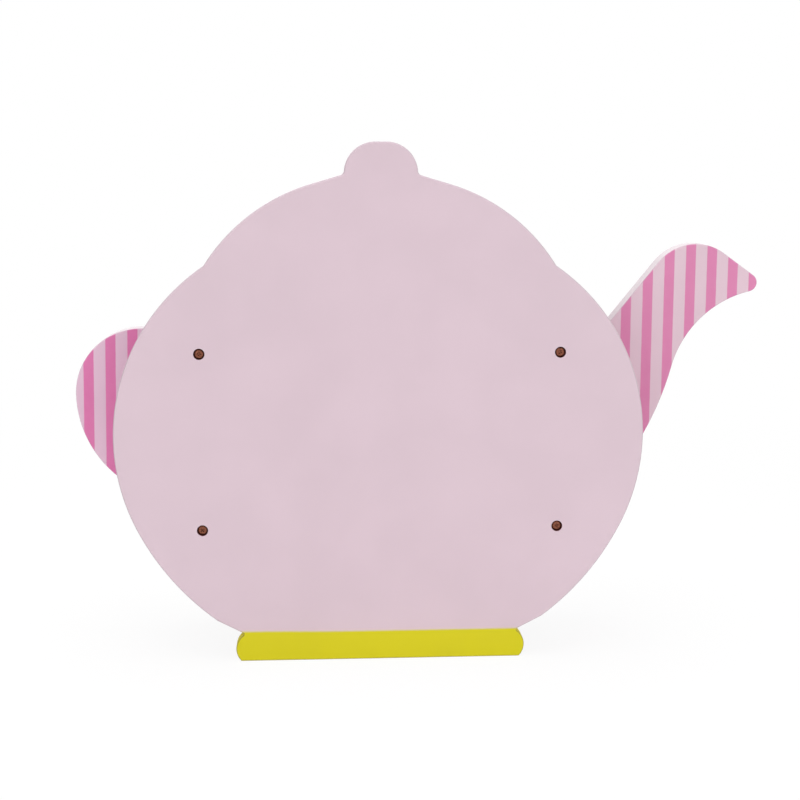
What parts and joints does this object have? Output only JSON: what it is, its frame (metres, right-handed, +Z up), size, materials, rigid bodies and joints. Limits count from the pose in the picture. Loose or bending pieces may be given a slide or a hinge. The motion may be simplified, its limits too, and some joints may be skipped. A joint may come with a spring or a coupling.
{
  "type": "toy teapot",
  "caption": "Flat-board wooden toy teapot that stands on its feet, with a striped handle and spout and an open bin between its panels.",
  "frame": {"origin": "middle of the whole toy's box, on the table under the two feet", "axes": "+Z up; +Y towards the back panel with the screws; +X towards the handle, so that the spout points to -X"},
  "size_m": [0.3916, 0.08, 0.29],
  "materials": {
    "panel_paint": "pale pink satin paint on fibreboard, with a yellow-green painted foot",
    "side_paint": "pale pink satin paint on fibreboard",
    "stripe_paint": "pale pink satin paint with darker pink upright stripes",
    "screw_steel": "bronze-brown plated steel",
    "dowel_beech": "bare beech"
  },
  "bodies": {
    "root": {"back_panel": "panel_paint", "front_panel": "panel_paint", "spout_side_board": "side_paint", "handle_side_board": "side_paint", "bin_floor": "side_paint", "handle_board": "stripe_paint", "spout_board": "stripe_paint", "back_screws": "screw_steel", "front_dowels": "dowel_beech", "floor_dowels": "dowel_beech", "handle_dowels": "dowel_beech", "spout_dowels": "dowel_beech"}
  },
  "joints": []
}
